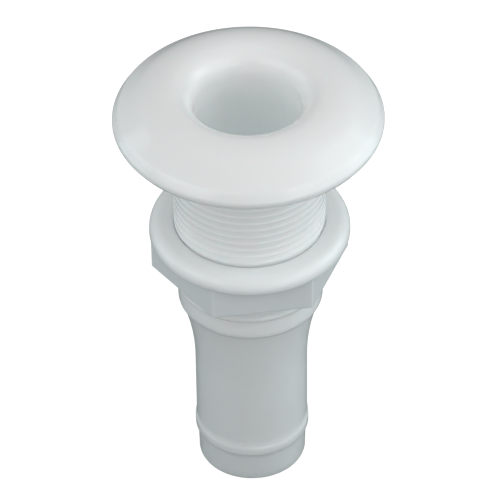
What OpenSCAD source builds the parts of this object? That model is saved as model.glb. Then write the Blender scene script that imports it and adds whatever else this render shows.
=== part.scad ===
// Through-hull fitting with a hose tail, a loose washer and a hex nut.
// The origin is the centre of the flange's flat underside, which seats on the outside
// of the hull. +Z points out of the hull, away from the hose tail. Millimetres.

/* [Flange] */
// Outside diameter of the flange
flange_d = 66.7; // [62:0.1:80]
// Height of the dome's crest above the seating face
crest_h = 11.5; // [10.5:0.1:13]
// Thickness of the flange's full-round rim
rim_t = 6; // [4:0.1:7]
// Radius of the rounded lip of the throat
throat_fillet = 6; // [4:0.1:7]

/* [Waterway] */
// Bore diameter in the flange and the shank
bore_d = 26.4; // [22:0.1:28]
// Bore diameter in the hose tail
tail_bore_d = 25; // [18:0.1:25]

/* [Threaded shank] */
// Major diameter of the thread
thread_d = 38.1; // [38.1:0.1:40]
// Threads per inch
thread_tpi = 12; // [10:0.5:14]
// Radial depth of the moulded thread
thread_depth = 0.6; // [0.5:0.05:0.7]
// Plain neck between the flange and the top of the thread
thread_relief = 2; // [1:0.5:4]
// Distance from the seating face to the lower end of the thread
thread_reach = 49; // [46:0.5:52]
// Distance from the seating face to the lower end of the shank
shank_l = 54.2; // [53:0.1:58]

/* [Hose tail] */
// Outside diameter of the hose tail
tail_d = 28.8; // [28:0.1:29]
// Radius of the concave neck between the shank and the tail
neck_r = 70; // [60:1:75]
// Distance from the seating face to the top of the hose bead
bead_top = 96.2; // [90:0.1:100]
// Length of the hose bead
bead_l = 3; // [2:0.1:6]
// Outside diameter of the hose bead
bead_d = 29.44; // [29.4:0.02:31]
// Length of the lead-in below the bead
lead_l = 9; // [6:0.1:12]

/* [Washer] */
// Outside diameter of the washer
washer_d = 50.4; // [46:0.1:56]
// Thickness of the washer
washer_t = 3.9; // [3.6:0.1:5]
// Radius of the washer's rounded top edge
washer_round = 3; // [1:0.1:3]

/* [Nut] */
// Size of the nut across its flats
nut_af = 43.5; // [43:0.1:48]
// Height of the nut
nut_h = 9.2; // [8:0.1:12]
// Turn of the nut about the axis as it stands
nut_turn = 7.8; // [0:0.1:60]
// Gap between the seating face and the washer as the washer stands
hull_gap = 29.5; // [6:0.1:33]

/* [Hidden] */
$fn = 96;
inch = 25.4;
seam = 1; // how far joined pieces of an outline run into each other

// Clearances between the pieces
washer_clearance = 0.09;
nut_crest_clearance = 0.12;
nut_root_clearance = 0.15;
flank_clearance = 0.1;

// Head
flange_r = flange_d / 2;
bore_r = bore_d / 2;
rim_r = rim_t / 2;
rim_x = flange_r - rim_r;
throat_r = bore_r + 0.3; // the throat is a little wider than the bore
throat_step = 2; // height at which the throat steps in to the bore
throat_z = crest_h - throat_fillet;
crest_x = throat_r + throat_fillet;
// The dome's arc is level at the crest and touches the rim's round
dome_rise = crest_h - rim_r;
dome_run = rim_x - crest_x;
dome_r = (dome_run * dome_run + dome_rise * dome_rise - rim_r * rim_r) / (2 * (dome_rise - rim_r));
dome_z = crest_h - dome_r;
rim_lean = atan2(dome_run, rim_r - dome_z);

// Shank and thread
thread_r = thread_d / 2;
pitch = inch / thread_tpi;
root_r = thread_r - thread_depth;
root_overlap = 0.1; // how far the threaded tube's faceted root stands in the core
core_r = root_r - root_overlap;
flank_angle = 30;
crest_flat = pitch / 4;
end_gap = 0.3; // plain ring beyond each end of a thread
turn_steps = 36;
fade_steps = 12;

// Tail
tail_r = tail_d / 2;
tail_bore_r = tail_bore_d / 2;
bead_r = bead_d / 2;
bead_round = 1.5;
bead_bottom = bead_top + bead_l;
lead_top_r = tail_r - 0.35;
lead_end_r = tail_r - 0.55;
total_l = bead_bottom + lead_l;
end_chamfer = 0.35;
neck_inset = 0.45; // step in from the shank to the top of the neck
neck_width = core_r - neck_inset - tail_r;
neck_drop = sqrt(neck_r * neck_r - pow(neck_r - neck_width, 2));
neck_end = shank_l + neck_drop;
bore_taper_l = 8;
bore_taper_end = shank_l + bore_taper_l;

// Washer and nut
washer_r = washer_d / 2;
washer_hole_r = thread_r + washer_clearance;
washer_top = -hull_gap;
washer_bottom = washer_top - washer_t;
edge_chamfer = 0.4;
nut_top = washer_bottom;
nut_bottom = nut_top - nut_h;
nut_corner_r = nut_af / 2 / cos(30);
nut_crest_r = thread_r + nut_crest_clearance; // bottom of the nut's thread groove
nut_tip_r = root_r + nut_root_clearance;
nut_hole_r = nut_crest_r + 0.8; // hole in the hexagon, which the threaded sleeve fills
nut_sleeve_r = nut_crest_r + 1.4; // outside of the sleeve, inside the hexagon's wall
nut_inset = 0.8; // the nut's thread starts this far in from each face
nut_mouth_r = nut_hole_r + 0.5;

// One turn of an external thread from the top down, as [drop, share of the depth]
flank = thread_depth * tan(flank_angle);
shank_form = [[0, 0], [flank, 1], [flank + crest_flat, 1], [2 * flank + crest_flat, 0]];
// The nut's groove clears the shank's ridge, and its own ridge fills what is left
groove_flat = crest_flat + 2 * flank_clearance - 2 * nut_crest_clearance * tan(flank_angle);
nut_flank = (nut_crest_r - nut_tip_r) * tan(flank_angle);
nut_flat = pitch - groove_flat - 2 * nut_flank;
nut_form = [[0, 0], [nut_flank, 1], [nut_flank + nut_flat, 1], [2 * nut_flank + nut_flat, 0]];
nut_phase = flank + crest_flat / 2 + groove_flat / 2;

// Both threads follow one right-hand helix, whose steps are numbered from the top down
function helix_step(z) = (-thread_relief - z) * turn_steps / pitch;
function step_angle(i) = -i * 360 / turn_steps;
function flipped(face) = [face[0], for (k = [len(face) - 1:-1:1]) face[k]];

// A tube with a helical ridge on one wall. The ridge fades in and out at its ends, and
// stands outwards or inwards as ridge_r is above or below base_r.
module threaded_tube(z_top, z_bottom, phase, form, base_r, ridge_r, wall_r) {
    first = ceil(helix_step(z_top - end_gap + phase));
    last = floor(helix_step(z_bottom + end_gap + phase)) - turn_steps;
    base_count = last - first + turn_steps + 1;
    rail_count = last - first + 1;

    function fade(i) = min(1, (i - first) / fade_steps, (last - i) / fade_steps);
    function on_helix(i, drop, r) =
        [r * cos(step_angle(i)), r * sin(step_angle(i)), -thread_relief - phase - i * pitch / turn_steps - drop];
    function ring(r, z) = [for (c = [0:turn_steps - 1]) [r * cos(step_angle(c)), r * sin(step_angle(c)), z]];

    points = concat(
        [for (i = [first:last + turn_steps]) on_helix(i, 0, base_r)],
        [for (k = [1:3]) for (i = [first:last])
            on_helix(i, form[k][0], base_r + fade(i) * form[k][1] * (ridge_r - base_r))],
        ring(base_r, z_top),
        ring(base_r, z_bottom),
        ring(wall_r, z_top),
        ring(wall_r, z_bottom)
    );

    // Numbers of the points: rail k at step i, and ring n at column i
    function rail(k, i) = k == 0 ? i - first : base_count + (k - 1) * rail_count + i - first;
    function on_ring(n, i) =
        base_count + 3 * rail_count + n * turn_steps + (i % turn_steps + turn_steps) % turn_steps;

    ridge = [for (i = [first:last - 1]) for (k = [0:3])
        let (a = rail(k, i), b = rail(k, i + 1))
        let (c = k < 3 ? rail(k + 1, i + 1) : rail(0, i + 1 + turn_steps))
        let (d = k < 3 ? rail(k + 1, i) : rail(0, i + turn_steps))
        each [[a, b, c], [a, c, d]]];
    top_seam = first + turn_steps - 1;
    above = concat(
        [for (i = [first:top_seam - 1]) [on_ring(0, i), on_ring(0, i + 1), rail(0, i + 1), rail(0, i)]],
        [concat([on_ring(0, top_seam), on_ring(0, first)], [for (k = [0:3]) rail(k, first)],
            [rail(0, first + turn_steps), rail(0, top_seam)])]
    );
    below = concat(
        [for (i = [last + 1:last + turn_steps - 1])
            [rail(0, i), rail(0, i + 1), on_ring(1, i + 1), on_ring(1, i)]],
        [concat([rail(0, last + 1), on_ring(1, last + 1), on_ring(1, last), rail(0, last + turn_steps)],
            [for (k = [3:-1:0]) rail(k, last)])]
    );
    wall = [for (c = [0:turn_steps - 1])
        each [
            [on_ring(2, c + 1), on_ring(2, c), on_ring(3, c), on_ring(3, c + 1)],
            [on_ring(0, c + 1), on_ring(0, c), on_ring(2, c), on_ring(2, c + 1)],
            [on_ring(1, c), on_ring(1, c + 1), on_ring(3, c + 1), on_ring(3, c)]
        ]];
    faces = concat(ridge, above, below, wall);
    polyhedron(points, ridge_r > base_r ? [for (f = faces) flipped(f)] : faces);
}

// Half section of the mushroom head: the lip, the dome and the full-round rim
module head_outline() {
    translate([crest_x, throat_z])
        circle(throat_fillet);
    translate([throat_r, 0])
        square([crest_x - throat_r, throat_z]);
    intersection() {
        translate([crest_x, dome_z])
            circle(dome_r);
        translate([crest_x, 0])
            square([rim_x - crest_x, crest_h]);
    }
    intersection() {
        translate([crest_x, dome_z])
            circle(dome_r);
        polygon([
            [rim_x - seam, rim_r],
            [rim_x, rim_r],
            [rim_x + rim_t * sin(rim_lean), rim_r + rim_t * cos(rim_lean)],
            [rim_x - seam, rim_r + rim_t]
        ]);
    }
    translate([rim_x, rim_r])
        circle(rim_r);
}

// Half section of the plain shank under the thread, with a softened lower edge
module shank_outline() {
    polygon([
        [bore_r, throat_step],
        [core_r, throat_step],
        [core_r, -shank_l + end_chamfer],
        [core_r - end_chamfer, -shank_l],
        [bore_r, -shank_l]
    ]);
}

// Half section of the concave neck, which runs out flush with the tail
module neck_outline() {
    difference() {
        translate([tail_bore_r, -neck_end])
            square([core_r - tail_bore_r, neck_drop + seam]);
        translate([tail_r + neck_r, -neck_end])
            circle(neck_r);
    }
}

// Half section of the hose tail with its bead and lead-in
module tail_outline() {
    bead_h = bead_r - tail_r;
    bead_fall = sqrt(2 * bead_round * bead_h - bead_h * bead_h);
    translate([tail_bore_r, -bead_top - seam])
        square([tail_r - tail_bore_r, bead_top + seam - neck_end + seam]);
    intersection() {
        translate([tail_bore_r, -bead_bottom])
            square([bead_r - tail_bore_r, bead_l]);
        union() {
            translate([bead_r - bead_round, -bead_top - bead_fall])
                circle(bead_round);
            translate([tail_bore_r, -bead_bottom])
                square([bead_r - tail_bore_r, bead_l - bead_fall]);
        }
    }
    polygon([
        [tail_bore_r, -bead_bottom + seam],
        [lead_top_r, -bead_bottom + seam],
        [lead_top_r, -bead_bottom],
        [lead_end_r, -total_l + end_chamfer],
        [lead_end_r - end_chamfer, -total_l],
        [tail_bore_r, -total_l]
    ]);
}

// Half section of the waterway below the throat's lip
module waterway_outline() {
    polygon([
        [0, throat_step],
        [bore_r, throat_step],
        [bore_r, -shank_l],
        [tail_bore_r, -bore_taper_end],
        [tail_bore_r, -total_l - seam],
        [0, -total_l - seam]
    ]);
}

module hull_fitting() {
    color([0.86, 0.87, 0.87]) union() {
        rotate_extrude()
            difference() {
                union() {
                    head_outline();
                    shank_outline();
                    neck_outline();
                    tail_outline();
                }
                waterway_outline();
            }
        threaded_tube(-thread_relief, -thread_reach, 0, shank_form, root_r, thread_r, (bore_r + core_r) / 2);
    }
}

module hull_washer() {
    color([0.84, 0.85, 0.85])
        rotate_extrude()
            difference() {
                union() {
                    translate([washer_hole_r, washer_bottom])
                        square([washer_r - washer_round - washer_hole_r, washer_t]);
                    translate([washer_hole_r, washer_bottom + edge_chamfer])
                        square([washer_r - washer_hole_r, washer_t - washer_round - edge_chamfer]);
                    intersection() {
                        translate([washer_r - washer_round, washer_top - washer_round])
                            circle(washer_round);
                        translate([washer_r - washer_round - seam, washer_top - washer_round])
                            square([washer_round + seam, washer_round]);
                    }
                    polygon([
                        [washer_r - washer_round, washer_bottom],
                        [washer_r - edge_chamfer, washer_bottom],
                        [washer_r, washer_bottom + edge_chamfer],
                        [washer_r - washer_round, washer_bottom + edge_chamfer]
                    ]);
                }
                polygon([
                    [washer_hole_r - seam, washer_top],
                    [washer_hole_r + edge_chamfer, washer_top],
                    [washer_hole_r, washer_top - edge_chamfer],
                    [washer_hole_r - seam, washer_top - edge_chamfer]
                ]);
            }
}

// Half section of the hole through the hexagon, wider at each mouth
module nut_hole_outline() {
    polygon([
        [0, nut_top + seam],
        [nut_mouth_r, nut_top + seam],
        [nut_mouth_r, nut_top],
        [nut_hole_r, nut_top - nut_inset / 2],
        [nut_hole_r, nut_bottom + nut_inset / 2],
        [nut_mouth_r, nut_bottom],
        [nut_mouth_r, nut_bottom - seam],
        [0, nut_bottom - seam]
    ]);
}

module hex_nut() {
    color([0.8, 0.82, 0.83]) union() {
        difference() {
            translate([0, 0, nut_bottom])
                rotate([0, 0, nut_turn])
                    cylinder(h = nut_h, r = nut_corner_r, $fn = 6);
            rotate_extrude()
                nut_hole_outline();
        }
        threaded_tube(nut_top - nut_inset, nut_bottom + nut_inset, nut_phase, nut_form,
            nut_crest_r, nut_tip_r, nut_sleeve_r);
    }
}

hull_fitting();
hull_washer();
hex_nut();
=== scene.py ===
"""Looks of the through-hull fitting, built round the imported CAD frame.

Each of the three CAD pieces gets a finer mesh of the same overall size, with softened
edges and a smooth thread, and glossy white moulded plastic made from nodes. The flange's
underside is flat here, without the low ring that the CAD has round the shank by mistake.
"""

from math import atan2, ceil, cos, degrees, hypot, pi, radians, sin, sqrt, tan

import bmesh
import bpy
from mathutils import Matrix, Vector


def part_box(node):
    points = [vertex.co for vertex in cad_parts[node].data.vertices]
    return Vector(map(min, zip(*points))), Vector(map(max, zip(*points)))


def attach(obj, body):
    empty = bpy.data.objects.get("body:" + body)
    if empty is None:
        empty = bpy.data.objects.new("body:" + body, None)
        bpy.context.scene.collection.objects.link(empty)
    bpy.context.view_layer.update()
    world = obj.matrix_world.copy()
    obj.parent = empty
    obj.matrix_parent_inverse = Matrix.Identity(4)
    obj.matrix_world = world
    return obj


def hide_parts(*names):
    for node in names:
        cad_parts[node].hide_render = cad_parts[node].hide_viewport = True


MM = 0.001

# Mesh fineness: columns round a piece, rows to one thread pitch, and the spacing of other rows
COLUMNS = 180
ROWS_PER_PITCH = 18
FINE_ROW = 0.8 * MM
ROW = 1.0 * MM
LONG_ROW = 2.0 * MM
BEND_STEPS = 12
EDGE_SHARE = 0.45  # the most of an edge that one rounding may take
SAME_POINT = 0.002 * MM
SAME_RADIUS = 0.01 * MM

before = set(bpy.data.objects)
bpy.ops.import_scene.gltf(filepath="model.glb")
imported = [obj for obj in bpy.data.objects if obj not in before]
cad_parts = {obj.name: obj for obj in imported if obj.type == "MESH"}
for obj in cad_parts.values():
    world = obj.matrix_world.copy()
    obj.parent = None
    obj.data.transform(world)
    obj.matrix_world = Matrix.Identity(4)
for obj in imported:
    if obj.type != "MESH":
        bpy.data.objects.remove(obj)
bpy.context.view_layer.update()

fitting_low, fitting_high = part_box("hull_fitting")
washer_low, washer_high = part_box("hull_washer")
nut_low, nut_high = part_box("hex_nut")

# Flange: a domed face that ends in a tight shoulder, above a steeper rim
flange_r = fitting_high.x
crest_z = fitting_high.z
lip_r = 6.0 * MM
dome_bend = 14.0 * MM
dome_slope = radians(37)
shoulder_r = 31.9 * MM
shoulder_ease = 0.55 * MM
rim_top_z = 3.4 * MM
rim_low_z = 2.4 * MM
rim_ease = 1.2 * MM
underside_r = 31.6 * MM

# Throat: narrows a little on its way down into the bore
throat_r = 13.5 * MM
throat_end_z = 4.2 * MM
step_high_z = 3.2 * MM
step_low_z = 1.0 * MM
step_ease = 0.9 * MM

# Shank and thread
thread_r = 19.05 * MM
thread_depth = 0.6 * MM
pitch = 25.4 / 12 * MM
thread_top = -2.0 * MM
thread_end = -49.0 * MM
core_r = 18.35 * MM
thread_root_r = 18.85 * MM
shank_end = -54.2 * MM
shank_ease = 0.5 * MM
underside_middle_r = (flange_r + core_r) / 2
flank_angle = radians(30)
flank = thread_depth * tan(flank_angle)
flank_clearance = 0.1 * MM
crest_flat = pitch / 4
ridge_centre = thread_top - flank - crest_flat / 2
thread_fade = pitch / 2
ridge_soften = 0.05

# Hose tail
tail_r = 14.4 * MM
neck_radius = 70.0 * MM
neck_inset = 0.45 * MM
neck_top_r = core_r - neck_inset
bead_r = 14.72 * MM
bead_top = -96.2 * MM
bead_end = -99.2 * MM
bead_round = 1.5 * MM
lead_top_r = 14.05 * MM
lead_end_r = 13.85 * MM
bead_edge = 0.25 * MM
lead_ease = 0.15 * MM
tail_end_ease = 0.4 * MM
tail_end = fitting_low.z

# Waterway
bore_r = 13.2 * MM
tail_bore_r = 12.5 * MM
bore_taper_end = shank_end - 8.0 * MM
bore_blend = 3.0 * MM
tail_mouth_ease = 0.3 * MM

# Washer
washer_r = washer_high.x
washer_top = washer_high.z
washer_bottom = washer_low.z
washer_hole_r = 19.07 * MM
washer_round = 2.9 * MM
washer_mouth_ease = 0.18 * MM
washer_hole_ease = 0.3 * MM
washer_foot_ease = 0.35 * MM

# Nut
nut_top = nut_high.z
nut_bottom = nut_low.z
nut_flat_r = 21.7 * MM
nut_turn = radians(7.8)
nut_corner_round = 0.5 * MM
nut_edge = 0.35 * MM
nut_mouth_width = 0.8 * MM
nut_mouth_ease = 0.2 * MM
nut_wall_inset = 0.8 * MM
nut_wall_row = 0.9 * MM
nut_face_inset = 0.9 * MM
nut_face_row = 0.6 * MM
nut_groove_r = 19.17 * MM
nut_tip_r = 18.88 * MM
groove_flat = crest_flat + 2 * flank_clearance - 2 * (nut_groove_r - thread_r) * tan(flank_angle)
nut_inset = 0.8 * MM


# Outlines: lists of (radius, height) points

def arc(centre, radius, start, end, steps):
    """Points along an arc, with its angles in degrees."""
    turns = [radians(start + (end - start) * i / steps) for i in range(steps + 1)]
    return [(centre[0] + radius * cos(t), centre[1] + radius * sin(t)) for t in turns]


def straight(start, end, step):
    """Points from start up to but not including end, no further apart than step."""
    count = max(1, ceil(hypot(end[0] - start[0], end[1] - start[1]) / step))
    return [(start[0] + (end[0] - start[0]) * i / count, start[1] + (end[1] - start[1]) * i / count)
            for i in range(count)]


def rounded(corners, step=LONG_ROW):
    """A path through (radius, height, rounding) corners, each rounded by an arc-like curve."""
    path = [corners[0][:2]]
    for before, here, after in zip(corners, corners[1:], corners[2:]):
        point = Vector(here[:2])
        back = Vector(before[:2]) - point
        ahead = Vector(after[:2]) - point
        reach = min(here[2], back.length * EDGE_SHARE, ahead.length * EDGE_SHARE)
        start = point + back.normalized() * reach
        end = point + ahead.normalized() * reach
        path += straight(path[-1], start, step)[1:]
        bend = BEND_STEPS if reach > 0 else 0
        for i in range(bend + 1):
            t = i / max(bend, 1)
            path.append(tuple(start * (1 - t) ** 2 + point * 2 * t * (1 - t) + end * t * t))
    path += straight(path[-1], corners[-1][:2], step)[1:]
    path.append(corners[-1][:2])
    return path


def joined(*paths):
    """One path from several, without the points that repeat where they meet."""
    points = []
    for path in paths:
        for point in path:
            if not points or hypot(point[0] - points[-1][0], point[1] - points[-1][1]) > SAME_POINT:
                points.append(point)
    return points


# Thread

def ridge_distance(angle, z):
    """Distance along the axis from (angle, z) to the middle of the nearest ridge."""
    turns = (z - ridge_centre - pitch * angle / (2 * pi)) / pitch
    return abs(turns - round(turns)) * pitch


def eased(x):
    """A smooth step from 0 to 1 as x goes from 0 to 1."""
    x = min(1.0, max(0.0, x))
    return x * x * (3 - 2 * x)


def shank_ridge(angle, r, z):
    """Radius of the shank at a point, with the thread raised on it."""
    if r < core_r - SAME_RADIUS or not thread_end <= z <= thread_top:
        return r
    rise = eased((thread_top - z) / thread_fade) * eased((z - thread_end) / thread_fade)
    off = ridge_distance(angle, z)
    share = eased((crest_flat / 2 + flank - off) / flank * (1 - 2 * ridge_soften) + ridge_soften)
    return r + rise * (thread_root_r - core_r + share * (thread_r - thread_root_r))


def nut_ridge(angle, r, z):
    """Radius of the nut's hole at a point, with its thread standing inwards."""
    low = nut_bottom + nut_inset
    high = nut_top - nut_inset
    if abs(r - nut_groove_r) > SAME_RADIUS or not low <= z <= high:
        return r
    rise = eased((high - z) / thread_fade) * eased((z - low) / thread_fade)
    share = eased((ridge_distance(angle, z) - groove_flat / 2) / flank)
    return r - rise * share * (nut_groove_r - nut_tip_r)


# Meshes

def turned(name, outline, columns, place):
    """A closed ring-shaped mesh: the outline carried round the axis, point by point.

    place(column, r, z) gives the (x, y, z) of one outline point at one column.
    """
    rows = len(outline)
    points = [place(c, r, z) for r, z in outline for c in range(columns)]
    faces = []
    for row in range(rows):
        below = (row + 1) % rows
        for c in range(columns):
            across = (c + 1) % columns
            faces.append((row * columns + c, row * columns + across,
                          below * columns + across, below * columns + c))
    mesh = bpy.data.meshes.new(name)
    mesh.from_pydata(points, [], faces)
    work = bmesh.new()
    work.from_mesh(mesh)
    bmesh.ops.recalc_face_normals(work, faces=work.faces)
    work.to_mesh(mesh)
    work.free()
    mesh.shade_smooth()
    piece = bpy.data.objects.new(name, mesh)
    bpy.context.scene.collection.objects.link(piece)
    return piece


def round_place(ridge):
    """A place function for a round piece whose radius the ridge function may change."""
    def place(column, r, z):
        angle = 2 * pi * column / COLUMNS
        r = ridge(angle, r, z)
        return (r * cos(angle), r * sin(angle), z)
    return place


def head_path():
    """From the throat over the lip, the dome and the rim to the middle of the underside."""
    crest_x = throat_r + lip_r
    dome_end = (crest_x + dome_bend * sin(dome_slope), crest_z - dome_bend * (1 - cos(dome_slope)))
    shoulder_z = dome_end[1] - (shoulder_r - dome_end[0]) * tan(dome_slope)
    return joined(
        straight((throat_r, throat_end_z), (throat_r, crest_z - lip_r), FINE_ROW),
        arc((crest_x, crest_z - lip_r), lip_r, 180, 90, steps=24),
        arc((crest_x, crest_z - dome_bend), dome_bend, 90, 90 - degrees(dome_slope), steps=20),
        rounded([
            (*dome_end, 0),
            (shoulder_r, shoulder_z, shoulder_ease),
            (flange_r, rim_top_z, rim_ease),
            (flange_r, rim_low_z, rim_ease),
            (underside_r, 0, rim_ease),
            (underside_middle_r, 0, 0),
        ], ROW),
    )


def shank_path():
    """From the underside down the threaded shank to its softened lower edge."""
    return joined(
        rounded([(underside_middle_r, 0, 0), (core_r, 0, shank_ease), (core_r, thread_top, 0)]),
        straight((core_r, thread_top), (core_r, thread_end), pitch / ROWS_PER_PITCH),
        rounded([(core_r, thread_end, 0), (core_r, shank_end, shank_ease), (neck_top_r, shank_end, 0)],
                ROW),
    )


def neck_path():
    """The concave neck, which meets the tail without an edge."""
    spread = neck_radius - (neck_top_r - tail_r)
    start = degrees(atan2(sqrt(neck_radius ** 2 - spread ** 2), -spread))
    centre = (tail_r + neck_radius, shank_end - sqrt(neck_radius ** 2 - spread ** 2))
    return arc(centre, neck_radius, start, 180, steps=24)


def tail_path(neck_end):
    """From the neck down over the bead and the lead-in, and up through the bore to the throat."""
    bead_h = bead_r - tail_r
    fall = sqrt(2 * bead_round * bead_h - bead_h ** 2)
    centre = (bead_r - bead_round, bead_top - fall)
    lift = degrees(atan2(fall, bead_round - bead_h))
    return joined(
        straight((tail_r, neck_end), (tail_r, bead_top), LONG_ROW),
        arc(centre, bead_round, lift, 0, steps=10),
        rounded([
            (bead_r, bead_top - fall, 0),
            (bead_r, bead_end, bead_edge),
            (lead_top_r, bead_end, lead_ease),
            (lead_end_r, tail_end, tail_end_ease),
            (tail_bore_r, tail_end, tail_mouth_ease),
            (tail_bore_r, bore_taper_end, bore_blend),
            (bore_r, shank_end, bore_blend),
            (bore_r, step_low_z, step_ease),
            (throat_r, step_high_z, step_ease),
            (throat_r, throat_end_z, 0),
        ]),
    )


def fitting_body():
    """The one-piece moulding: flange, threaded shank, neck and hose tail."""
    neck = neck_path()
    outline = joined(head_path(), shank_path(), neck, tail_path(neck[-1][1]))[:-1]
    return turned("fitting_moulding", outline, COLUMNS, round_place(shank_ridge))


def washer_body():
    """The thick washer with its rounded top edge."""
    outline = joined(
        rounded([
            (washer_r - washer_round, washer_top, 0),
            (washer_hole_r, washer_top, washer_mouth_ease),
            (washer_hole_r, washer_bottom, washer_hole_ease),
            (washer_r, washer_bottom, washer_foot_ease),
            (washer_r, washer_top - washer_round, 0),
        ], FINE_ROW),
        arc((washer_r - washer_round, washer_top - washer_round), washer_round, 0, 90, steps=16),
    )[:-1]
    return turned("washer_moulding", outline, COLUMNS, round_place(lambda angle, r, z: r))


def hexagon(flat_steps=18, corner_steps=8):
    """(angle, radius) of points round a hexagon with rounded corners."""
    points = []
    inset = (nut_flat_r - nut_corner_round) / cos(radians(30))
    half_flat = (nut_flat_r - nut_corner_round) * tan(radians(30))
    for side in range(6):
        facing = nut_turn + radians(60 * side)
        for i in range(corner_steps):
            swing = radians(-30 + 60 * i / corner_steps)
            x = inset * cos(facing) + nut_corner_round * cos(facing + swing)
            y = inset * sin(facing) + nut_corner_round * sin(facing + swing)
            points.append((atan2(y, x), hypot(x, y)))
        normal = facing + radians(30)
        for i in range(flat_steps):
            along = -half_flat + 2 * half_flat * i / flat_steps
            x = nut_flat_r * cos(normal) - along * sin(normal)
            y = nut_flat_r * sin(normal) + along * cos(normal)
            points.append((atan2(y, x), hypot(x, y)))
    return points


def nut_body():
    """The hex nut, with its thread inside. Its edges are softened all round."""
    rim = hexagon()
    mouth_r = nut_groove_r + nut_mouth_width
    face_r = nut_flat_r - nut_face_inset
    # Points up the outside wall give how far each stands in from the hexagon, as a
    # negative radius; the others give a true radius.
    wall = rounded([(-nut_wall_inset, nut_bottom, 0), (0.0, nut_bottom, nut_edge),
                    (0.0, nut_top, nut_edge), (-nut_wall_inset, nut_top, 0)], nut_wall_row)
    inside = joined(
        rounded([(face_r, nut_top, 0), (mouth_r, nut_top, nut_mouth_ease),
                 (nut_groove_r, nut_top - nut_inset, 0)], nut_face_row),
        straight((nut_groove_r, nut_top - nut_inset), (nut_groove_r, nut_bottom + nut_inset),
                 pitch / ROWS_PER_PITCH),
        rounded([(nut_groove_r, nut_bottom + nut_inset, 0), (mouth_r, nut_bottom, nut_mouth_ease),
                 (face_r, nut_bottom, 0)], nut_face_row),
    )

    def place(column, r, z):
        angle, hex_r = rim[column]
        r = hex_r + r if r <= 0 else nut_ridge(angle, r, z)
        return (r * cos(angle), r * sin(angle), z)

    return turned("nut_moulding", wall + inside, len(rim), place)


# Materials

# The gloss varies between these shares of a material's roughness. Its largest value stays
# below 0.27, where the render's denoiser would leave blotches.
GLOSSIEST = 0.8
DULLEST = 1.25


def node_at(tree, kind, place, **settings):
    """A new node at a place in the editor. Settings are the node's own, or name its inputs."""
    node = tree.nodes.new(kind)
    node.location = place
    for key, value in settings.items():
        if hasattr(node, key):
            setattr(node, key, value)
        else:
            node.inputs[key.replace("_", " ")].default_value = value
    return node


def moulded_plastic(name, pale, shade, roughness, glow, depth):
    """Glossy white moulded plastic: cloudy colour, uneven gloss, faint moulding ripple.

    glow is how much of the light scatters inside the plastic, and depth is how far.
    """
    material = bpy.data.materials.new(name)
    material.use_nodes = True
    tree = material.node_tree
    tree.nodes.clear()
    link = tree.links.new
    out = node_at(tree, "ShaderNodeOutputMaterial", (900, 0))
    surface = node_at(tree, "ShaderNodeBsdfPrincipled", (600, 0))
    where = node_at(tree, "ShaderNodeTexCoord", (-900, 0))

    cloud = node_at(tree, "ShaderNodeTexNoise", (-600, 300), Scale=45.0, Detail=3.0, Roughness=0.5)
    tint = node_at(tree, "ShaderNodeMix", (0, 300), data_type="RGBA")
    tint.inputs["A"].default_value = (*shade, 1.0)
    tint.inputs["B"].default_value = (*pale, 1.0)
    link(where.outputs["Object"], cloud.inputs["Vector"])
    link(cloud.outputs["Fac"], tint.inputs["Factor"])
    link(tint.outputs["Result"], surface.inputs["Base Color"])

    gloss = node_at(tree, "ShaderNodeTexNoise", (-600, 0), Scale=260.0, Detail=4.0, Roughness=0.6)
    spread = node_at(tree, "ShaderNodeMapRange", (-300, 0))
    spread.inputs["To Min"].default_value = roughness * GLOSSIEST
    spread.inputs["To Max"].default_value = roughness * DULLEST
    link(where.outputs["Object"], gloss.inputs["Vector"])
    link(gloss.outputs["Fac"], spread.inputs["Value"])
    link(spread.outputs["Result"], surface.inputs["Roughness"])

    ripple = node_at(tree, "ShaderNodeTexNoise", (-600, -300), Scale=700.0, Detail=2.0, Roughness=0.5)
    bump = node_at(tree, "ShaderNodeBump", (0, -300), Strength=0.25, Distance=0.02 * MM)
    link(where.outputs["Object"], ripple.inputs["Vector"])
    link(ripple.outputs["Fac"], bump.inputs["Height"])
    link(bump.outputs["Normal"], surface.inputs["Normal"])

    surface.inputs["IOR"].default_value = 1.5
    surface.inputs["Subsurface Weight"].default_value = glow
    surface.inputs["Subsurface Radius"].default_value = (1.0, 0.9, 0.88)
    surface.inputs["Subsurface Scale"].default_value = depth
    link(surface.outputs["BSDF"], out.inputs["Surface"])
    return material


def dress(piece, material, node, body):
    """Gives a piece its finish and its place on the frame."""
    piece.data.materials.append(material)
    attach(piece, body)
    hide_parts(node)


fitting_white = moulded_plastic(
    "fitting_white", pale=(0.887, 0.892, 0.889), shade=(0.86, 0.868, 0.863),
    roughness=0.17, glow=1.0, depth=5.0 * MM)
washer_white = moulded_plastic(
    "washer_white", pale=(0.875, 0.89, 0.888), shade=(0.85, 0.868, 0.865),
    roughness=0.2, glow=0.8, depth=2.5 * MM)
# The nut's colour is set darker than the fitting's plastic: painted shade, for the shade that the washer
# and flange above throw on the nut
nut_white_painted_shade = moulded_plastic(
    "nut_white_painted_shade", pale=(0.79, 0.815, 0.825), shade=(0.76, 0.785, 0.795),
    roughness=0.2, glow=0.5, depth=1.5 * MM)

dress(fitting_body(), fitting_white, "hull_fitting", "fitting")
dress(washer_body(), washer_white, "hull_washer", "washer")
dress(nut_body(), nut_white_painted_shade, "hex_nut", "nut")


# Studio

COOL = (0.84, 1.0, 1.03)
STUDIO_DISTANCE = 0.5


def aim(thing, target):
    """Turns a light or camera to face the target."""
    thing.rotation_euler = (target - thing.location).to_track_quat("-Z", "Y").to_euler()


def direction(azimuth, elevation):
    """Unit vector towards a place, by degrees right of the camera and above the floor."""
    turn = radians(azimuth)
    lift = radians(elevation)
    return Vector((sin(turn) * cos(lift), -cos(turn) * cos(lift), sin(lift)))


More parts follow.
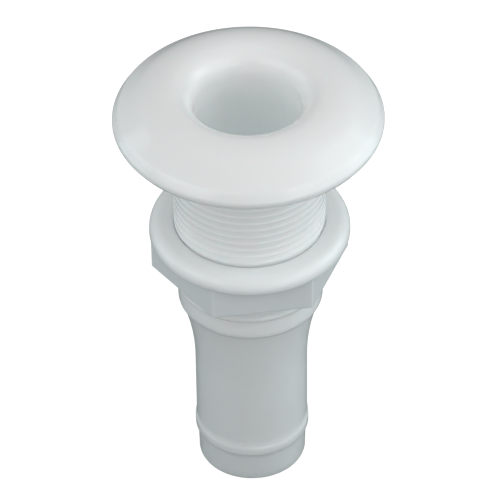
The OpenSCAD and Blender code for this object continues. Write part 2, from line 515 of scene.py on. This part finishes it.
def softbox(name, towards, distance, size, power, colour=(1, 1, 1)):
    """A rectangular light that stands off the origin and aims at it, unseen by the camera."""
    light = bpy.data.lights.new(name, "AREA")
    light.shape = "RECTANGLE"
    light.size = size[0]
    light.size_y = size[1]
    light.energy = power
    light.color = colour
    lamp = bpy.data.objects.new(name, light)
    bpy.context.scene.collection.objects.link(lamp)
    lamp.location = towards * distance
    aim(lamp, Vector())
    lamp.visible_camera = False
    return lamp


def white_floor():
    """A plain floor that is near white to the camera and throws no light on the object."""
    material = bpy.data.materials.new("floor_pale")
    material.use_nodes = True
    surface = material.node_tree.nodes["Principled BSDF"]
    surface.inputs["Base Color"].default_value = (0.2, 0.2, 0.2, 1.0)
    surface.inputs["Roughness"].default_value = 1.0
    surface.inputs["Specular IOR Level"].default_value = 0.0
    surface.inputs["Emission Color"].default_value = (1.0, 1.0, 1.0, 1.0)
    surface.inputs["Emission Strength"].default_value = 0.97
    material.cycles.emission_sampling = "NONE"
    mesh = bpy.data.meshes.new("floor")
    half = 6.0
    clearance = 0.05 * MM
    mesh.from_pydata([(-half, -half, 0), (half, -half, 0), (half, half, 0), (-half, half, 0)],
                     [], [(0, 1, 2, 3)])
    mesh.materials.append(material)
    floor = bpy.data.objects.new("floor", mesh)
    bpy.context.scene.collection.objects.link(floor)
    floor.location = (0, 0, tail_end - clearance)
    floor.visible_diffuse = False
    floor.visible_glossy = False


def studio_world(towards, dark, bright):
    """White to the camera; to the object, bright towards one side and dark away from it."""
    world = bpy.data.worlds.new("studio")
    world.use_nodes = True
    tree = world.node_tree
    tree.nodes.clear()
    link = tree.links.new
    where = node_at(tree, "ShaderNodeTexCoord", (-900, 0))
    facing = node_at(tree, "ShaderNodeVectorMath", (-700, 0), operation="DOT_PRODUCT")
    facing.inputs[1].default_value = towards
    fade = node_at(tree, "ShaderNodeMapRange", (-500, 0), interpolation_type="SMOOTHSTEP")
    fade.inputs["From Min"].default_value = -0.6
    fade.inputs["From Max"].default_value = 0.5
    tone = node_at(tree, "ShaderNodeMix", (-400, -100), data_type="RGBA")
    tone.inputs["A"].default_value = (*[dark * part for part in COOL], 1.0)
    tone.inputs["B"].default_value = (bright, bright, bright, 1.0)
    glow = node_at(tree, "ShaderNodeBackground", (-300, 0))
    backdrop = node_at(tree, "ShaderNodeBackground", (-300, -200))
    backdrop.inputs["Color"].default_value = (1.0, 1.0, 1.0, 1.0)
    path = node_at(tree, "ShaderNodeLightPath", (-300, 400))
    choose = node_at(tree, "ShaderNodeMixShader", (-100, 0))
    out = node_at(tree, "ShaderNodeOutputWorld", (100, 0))
    link(where.outputs["Generated"], facing.inputs[0])
    link(facing.outputs["Value"], fade.inputs["Value"])
    link(fade.outputs["Result"], tone.inputs["Factor"])
    link(tone.outputs["Result"], glow.inputs["Color"])
    link(path.outputs["Is Camera Ray"], choose.inputs["Fac"])
    link(glow.outputs["Background"], choose.inputs[1])
    link(backdrop.outputs["Background"], choose.inputs[2])
    link(choose.outputs["Shader"], out.inputs["Surface"])
    bpy.context.scene.world = world


white_floor()
softbox("softbox_left", direction(-52, 30), STUDIO_DISTANCE, size=(0.42, 0.3), power=0.56)
softbox("softbox_right", direction(66, 29), STUDIO_DISTANCE, size=(0.6, 0.42), power=0.93)
softbox("softbox_side_left", direction(-100, 12), STUDIO_DISTANCE, size=(0.3, 0.4), power=0.5, colour=COOL)
softbox("softbox_side_right", direction(100, 12), STUDIO_DISTANCE, size=(0.3, 0.4), power=0.6, colour=COOL)
softbox("softbox_front", direction(25, 5), STUDIO_DISTANCE, size=(0.3, 0.3), power=0.25, colour=COOL)

# A small lamp inside the bore stands for the light that comes through the wall
bore_glow = softbox("bore_glow", Vector((0, 0, -1)), 0.045, size=(0.018, 0.018), power=0.0022, colour=COOL)
bore_glow.visible_glossy = False

studio_world(direction(0, 73), dark=0.14, bright=0.46)


# Camera, with the photo's distance, height and slight lean

CAMERA_TARGET = Vector((0, 0, -50 * MM))
CAMERA_DISTANCE = 1.0
CAMERA_ELEVATION = 42.08
CAMERA_LEAN = radians(-0.73)
CAMERA_LENS = 284.2
CAMERA_SHIFT_X = -0.0007
CAMERA_SHIFT_Y = 0.0548


def photo_camera():
    """The camera that was fitted to the photo's outlines."""
    lens = bpy.data.cameras.new("camera")
    lens.sensor_width = 36.0
    lens.lens = CAMERA_LENS
    lens.shift_x = CAMERA_SHIFT_X
    lens.shift_y = CAMERA_SHIFT_Y
    lens.clip_end = 30.0
    camera = bpy.data.objects.new("camera", lens)
    bpy.context.scene.collection.objects.link(camera)
    camera.location = CAMERA_TARGET + CAMERA_DISTANCE * direction(0, CAMERA_ELEVATION)
    aim(camera, CAMERA_TARGET)
    camera.rotation_euler.rotate_axis("Z", CAMERA_LEAN)
    bpy.context.scene.camera = camera


photo_camera()

view = bpy.context.scene.view_settings
view.view_transform = "Standard"
view.look = "None"
